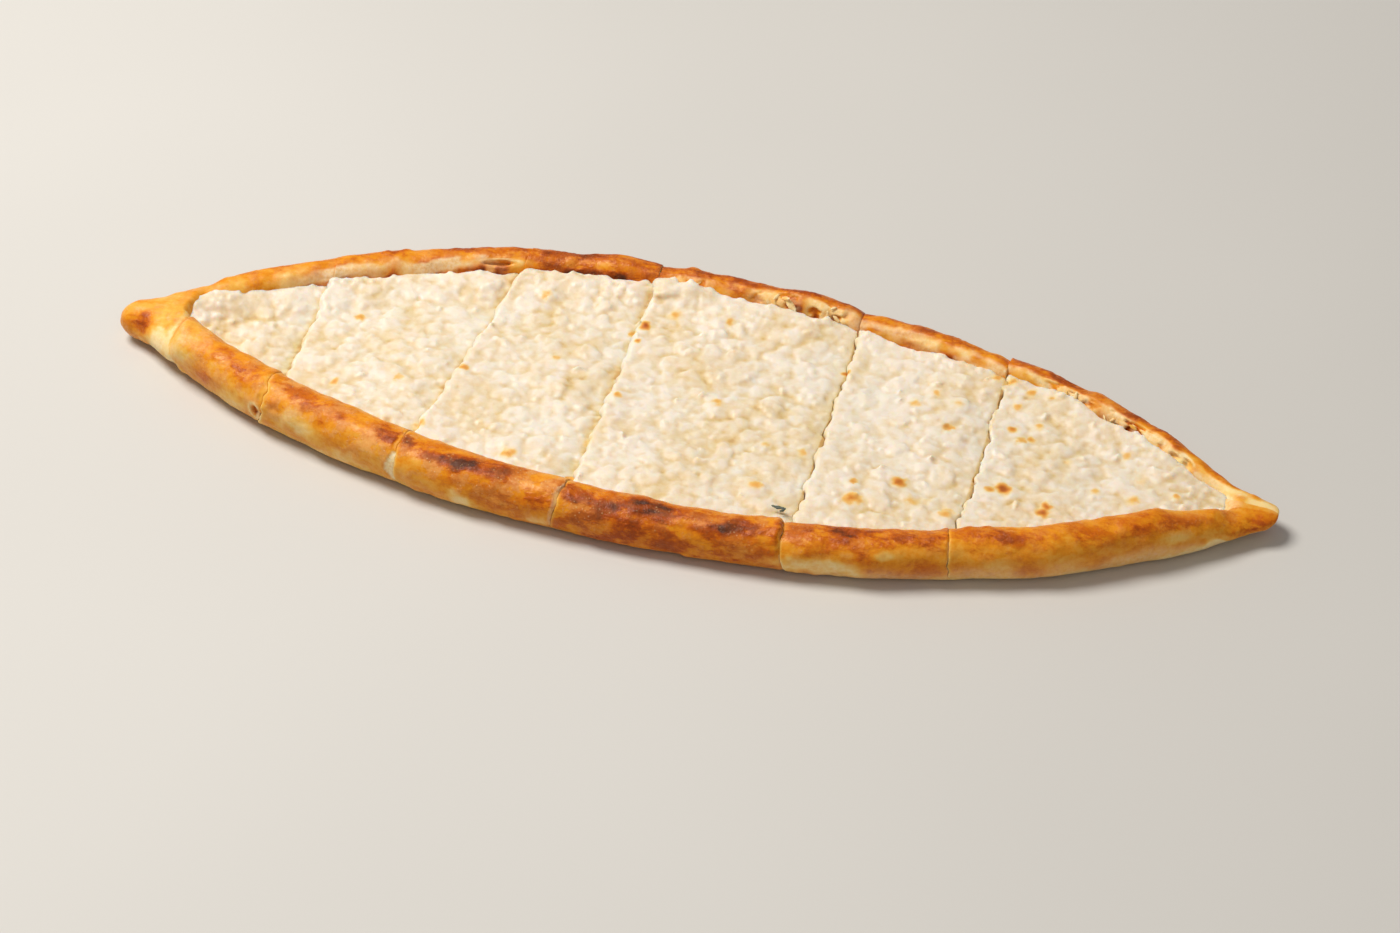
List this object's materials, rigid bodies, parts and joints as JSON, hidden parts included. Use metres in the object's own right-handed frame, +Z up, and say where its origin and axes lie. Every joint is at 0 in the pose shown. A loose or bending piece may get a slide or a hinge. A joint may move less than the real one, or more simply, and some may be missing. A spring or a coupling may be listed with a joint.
{
  "type": "white cheese pide",
  "caption": "Long boat-shaped flatbread with a rolled golden rim and pointed tips, filled with baked crumbled white cheese and cut across into slices that keep the whole's shape.",
  "frame": {"origin": "on the surface that the bread lies on, under the middle of its box", "axes": "+X from the left tip to the right tip, +Y from the front rim to the back rim, +Z up"},
  "size_m": [0.4798, 0.1685, 0.0228],
  "materials": {
    "crust": "baked bread crust, golden with brown blotches, softly glossy",
    "cheese": "baked crumbled white cheese, creamy with toasted spots"
  },
  "bodies": {
    "root": {"crust_1": "crust", "crust_2": "crust", "crust_3": "crust", "crust_4": "crust", "crust_5": "crust", "crust_6": "crust", "cheese_1": "cheese", "cheese_2": "cheese", "cheese_3": "cheese", "cheese_4": "cheese", "cheese_5": "cheese", "cheese_6": "cheese"}
  },
  "joints": []
}
